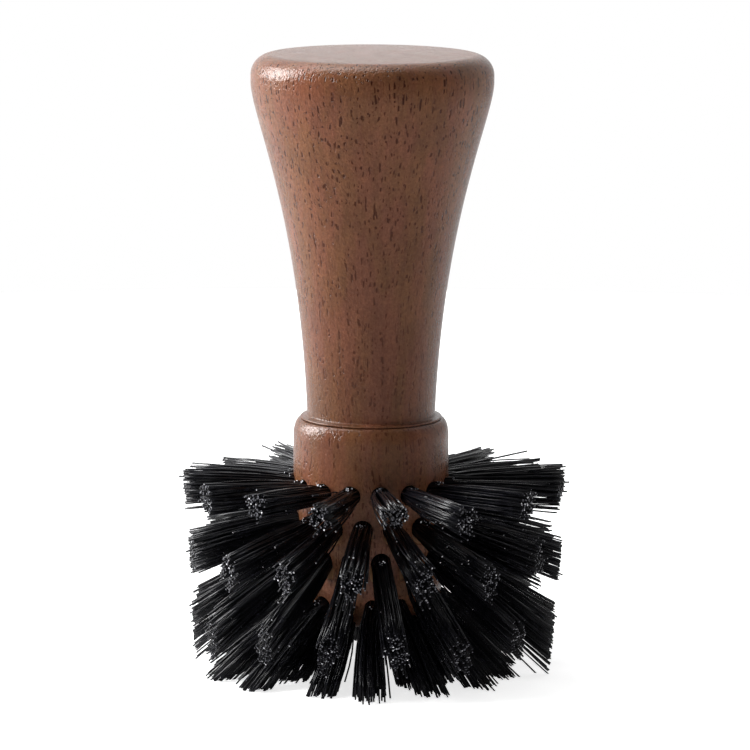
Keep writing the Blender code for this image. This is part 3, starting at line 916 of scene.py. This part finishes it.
class BRUSH_OT_turn_head(bpy.types.Operator):
    """Turn the wooden head and drill a hole for every tuft"""
    bl_idname = "brush.turn_head"
    bl_label = "Turn and drill the head"

    def execute(self, context):
        scene = context.scene
        seam = scene.brush_handle.seam
        points, faces = turned_geometry(head_outline(scene.brush_head, seam), scene.brush_head.steps)
        head = add_piece("head_drilled", points, faces)
        # Painted light towards the collar's bottom, painted shade up by the seam.
        low, high = COLLAR_PAINTED_LIGHT_AND_PORES
        give_materials(head, shared("varnished_head_wood", stained_wood, scene.brush_finishes,
                                    (seam - COLLAR_HEIGHT, *low), (seam, *high)))
        inside = shared("bored_wood", bare_wood, scene.brush_finishes.raw_wood)
        drill_head(head, ring_list(ALL_RINGS, scene), scene.brush_head.hole_chamfer, inside)
        shade_round(head.data)
        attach(head, "root")
        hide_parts("brush_head", "lower_tufts")
        return {"FINISHED"}


class BRUSH_OT_finish_dowel(bpy.types.Operator):
    """Give the hidden dowel its pale wood"""
    bl_idname = "brush.finish_dowel"
    bl_label = "Finish the dowel"

    def execute(self, context):
        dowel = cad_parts["joining_dowel"]
        pale_wood = context.scene.brush_finishes.dowel_wood
        give_materials(dowel, shared("bare_dowel_wood", bare_wood, pale_wood))
        return {"FINISHED"}


def set_rings(context, names):
    """Fills every hole of the named rings with its own tuft of filaments."""
    scene = context.scene
    finishes = scene.brush_finishes
    materials = (shared("bristle_filament", bristle, finishes),
                 shared("bristle_cut_end", bristle_end, finishes.bristle_end),
                 shared("bristle_broken_end", bristle_end, finishes.broken_end))
    for ring in ring_list(names, scene):
        place = list(ALL_RINGS).index(ring["name"])
        for index in range(TUFTS_PER_RING):
            seed = (scene.brush_tufts.seed, place, index)
            tuft = add_tuft(ring, index, scene.brush_tufts, seed, materials)
            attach(tuft, "root")
            if ring["name"] in UPPER_RINGS:
                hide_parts(f"{ring['name']}_{index + 1:02d}")
            else:
                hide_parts("lower_tufts")


class BRUSH_OT_set_upper_tufts(bpy.types.Operator):
    """Fill the holes round the head's side, three rings of tufts"""
    bl_idname = "brush.set_upper_tufts"
    bl_label = "Set the upper tufts"

    def execute(self, context):
        set_rings(context, UPPER_RINGS)
        return {"FINISHED"}


class BRUSH_OT_set_lower_tufts(bpy.types.Operator):
    """Fill the holes in the head's rounded end, two rings of tufts that the brush stands on"""
    bl_idname = "brush.set_lower_tufts"
    bl_label = "Set the lower tufts"

    def execute(self, context):
        set_rings(context, LOWER_RINGS)
        return {"FINISHED"}


# Millimetres across the camera's sensor, and the nearest and farthest that it sees.
SENSOR_WIDTH = 36
CLIP_NEAR = 0.05
CLIP_FAR = 20
FLOOR_LEVEL = -0.0001
FLOOR_BOTTOM = -0.0002
# What the lamps shine on, and the ways from there to them.
LAMP_AIM = Vector((0, 0, 0.05))
KEY_WAY = (-0.9, 0.04, 0.42)
SHINE_WAY = (-0.86, 0.27, 0.4)
OVERHEAD_WAY = (-0.3, 0.2, 0.93)
# The floor's own glow as seen directly and in reflections, how pale it is as lit, and how pale it is in
# reflections, in front of the brush and behind it.
FLOOR_SEEN = 0.75
FLOOR_MIRRORED = 0.03
FLOOR_PALE = 0.85
FLOOR_MIRRORED_PALE = (0.12, 0.68)
# How much of the reflected surroundings is left on the right.
MIRRORED_RIGHT = 0.47


def add_camera(stage):
    """A camera in front of the brush, a little above it."""
    data = bpy.data.cameras.new("camera")
    data.lens = stage.lens
    data.sensor_width = SENSOR_WIDTH
    data.clip_start = CLIP_NEAR
    data.clip_end = CLIP_FAR
    camera = bpy.data.objects.new("camera", data)
    bpy.context.scene.collection.objects.link(camera)
    place = Matrix.Translation((stage.camera_aside, -stage.camera_distance, stage.camera_height))
    look = Matrix.Rotation(math.pi / 2 - stage.pitch, 4, "X") @ Matrix.Rotation(stage.roll, 4, "Z")
    camera.matrix_world = place @ look
    bpy.context.scene.camera = camera


def light_rays(tree):
    """Outputs of a Light Path node, and a mask of the rays that see white surroundings."""
    rays = add_node(tree, "ShaderNodeLightPath").outputs
    return rays, maths(tree, "MAXIMUM", rays["Is Camera Ray"], rays["Is Transmission Ray"])


def add_floor(stage):
    """A pale round floor that shows white, with the brush's faint shadow."""
    outline = [(0, FLOOR_LEVEL), (stage.floor_radius / 2, FLOOR_LEVEL), (stage.floor_radius, FLOOR_LEVEL),
               (0, FLOOR_BOTTOM)]
    points, faces = turned_geometry(outline, STEPS["floor"])
    floor = add_piece("floor", points, faces)
    material = bpy.data.materials.new("pale_floor")
    material.use_nodes = True
    tree = material.node_tree
    tree.nodes.clear()
    position = add_node(tree, "ShaderNodeTexCoord").outputs["Object"]
    backward = add_node(tree, "ShaderNodeSeparateXYZ", {0: position}).outputs["Y"]
    rays, clear = light_rays(tree)
    seen = maths(tree, "ADD", maths(tree, "MULTIPLY", clear, FLOOR_SEEN),
                 maths(tree, "MULTIPLY", rays["Is Glossy Ray"], FLOOR_MIRRORED))
    seen = maths(tree, "ADD", seen, maths(tree, "MULTIPLY", rays["Is Diffuse Ray"], stage.floor_glow))
    mirrored = ramp(tree, backward, -0.12, 0.1, *FLOOR_MIRRORED_PALE)
    shade = either(tree, rays["Is Glossy Ray"], FLOOR_PALE, mirrored)
    pale = add_node(tree, "ShaderNodeBsdfDiffuse", {"Color": shade}).outputs[0]
    glow = add_node(tree, "ShaderNodeEmission", {"Color": (1, 1, 1, 1), "Strength": seen}).outputs[0]
    both = add_node(tree, "ShaderNodeAddShader", {0: pale, 1: glow}).outputs[0]
    add_node(tree, "ShaderNodeOutputMaterial", {"Surface": both})
    give_materials(floor, material)


def add_lamp(name, width, height, power, way):
    """A soft lamp, a metre away, that shines on the middle of the brush from a direction."""
    data = bpy.data.lights.new(name, "AREA")
    data.shape = "RECTANGLE"
    data.size = width
    data.size_y = height
    data.energy = power
    lamp = bpy.data.objects.new(name, data)
    bpy.context.scene.collection.objects.link(lamp)
    way = Vector(way).normalized()
    turn = way.to_track_quat("Z", "Y").to_matrix().to_4x4()
    lamp.matrix_world = Matrix.Translation(LAMP_AIM + way) @ turn
    return lamp


def add_surroundings(stage):
    """White as seen by the camera, and otherwise pale behind the brush and dim in front of it."""
    world = bpy.data.worlds.new("surroundings")
    world.use_nodes = True
    bpy.context.scene.world = world
    tree = world.node_tree
    tree.nodes.clear()
    direction = add_node(tree, "ShaderNodeTexCoord").outputs["Generated"]
    parts = add_node(tree, "ShaderNodeSeparateXYZ", {0: direction}).outputs
    backness = ramp(tree, parts["Y"], -0.25, 0.3)
    lit = either(tree, backness, stage.front, stage.behind)
    mirrored = either(tree, backness, stage.mirrored_front, stage.mirrored_behind)
    mirrored = maths(tree, "MULTIPLY", mirrored, ramp(tree, parts["X"], -0.1, 0.55, 1.0, MIRRORED_RIGHT))
    rays, clear = light_rays(tree)
    strength = either(tree, clear, either(tree, rays["Is Glossy Ray"], lit, mirrored), 1.0)
    sky = add_node(tree, "ShaderNodeBackground", {"Color": (1, 1, 1, 1), "Strength": strength}).outputs[0]
    add_node(tree, "ShaderNodeOutputWorld", {"Surface": sky})


class BRUSH_OT_set_stage(bpy.types.Operator):
    """Set up the camera, the pale floor, the lamps and the surroundings"""
    bl_idname = "brush.set_stage"
    bl_label = "Set the stage"

    def execute(self, context):
        stage = context.scene.brush_stage
        add_camera(stage)
        add_floor(stage)
        add_surroundings(stage)
        key = add_lamp("key_lamp", stage.key_side, stage.key_side, stage.key_power, KEY_WAY)
        key.visible_glossy = False
        shine = add_lamp("shine_lamp", stage.shine_width, stage.shine_height, stage.shine_power, SHINE_WAY)
        shine.visible_diffuse = False
        add_lamp("top_lamp", stage.top_side, stage.top_side, stage.top_power, OVERHEAD_WAY)
        sheen = add_lamp("sheen_lamp", stage.top_side, stage.top_side, stage.sheen_power, OVERHEAD_WAY)
        sheen.visible_diffuse = False
        context.scene.view_settings.view_transform = "Standard"
        return {"FINISHED"}


# Sidebar, and making everything

class BRUSH_PT_pieces(bpy.types.Panel):
    """Sizes, colours and one button for each kind of piece"""
    bl_idname = "BRUSH_PT_pieces"
    bl_label = "Coffee machine brush"
    bl_space_type = "VIEW_3D"
    bl_region_type = "UI"
    bl_category = "Brush"

    def draw(self, context):
        layout = self.layout
        for _, settings, title in SETTINGS:
            box = layout.box()
            box.label(text=title)
            group = getattr(context.scene, settings)
            for name in group.bl_rna.properties.keys():
                if name not in ("rna_type", "name"):
                    box.prop(group, name)
        for operator in OPERATORS:
            layout.operator(operator.bl_idname)


SETTINGS = (
    (BrushHandleSizes, "brush_handle", "Handle"),
    (BrushHeadSizes, "brush_head", "Head"),
    (BrushTuftSizes, "brush_tufts", "Tufts"),
    (BrushFinishes, "brush_finishes", "Finishes"),
    (BrushStage, "brush_stage", "Stage"),
)
OPERATORS = (BRUSH_OT_set_stage, BRUSH_OT_turn_handle, BRUSH_OT_turn_head, BRUSH_OT_finish_dowel,
             BRUSH_OT_set_upper_tufts, BRUSH_OT_set_lower_tufts)


def register():
    for group, settings, _ in SETTINGS:
        bpy.utils.register_class(group)
        setattr(bpy.types.Scene, settings, bpy.props.PointerProperty(type=group))
    for operator in OPERATORS:
        bpy.utils.register_class(operator)
    bpy.utils.register_class(BRUSH_PT_pieces)


def unregister():
    bpy.utils.unregister_class(BRUSH_PT_pieces)
    for operator in reversed(OPERATORS):
        bpy.utils.unregister_class(operator)
    for group, settings, _ in reversed(SETTINGS):
        delattr(bpy.types.Scene, settings)
        bpy.utils.unregister_class(group)


def main():
    register()
    bpy.ops.brush.set_stage()
    bpy.ops.brush.turn_handle()
    bpy.ops.brush.turn_head()
    bpy.ops.brush.finish_dowel()
    bpy.ops.brush.set_upper_tufts()
    bpy.ops.brush.set_lower_tufts()


if __name__ == "__main__":
    main()
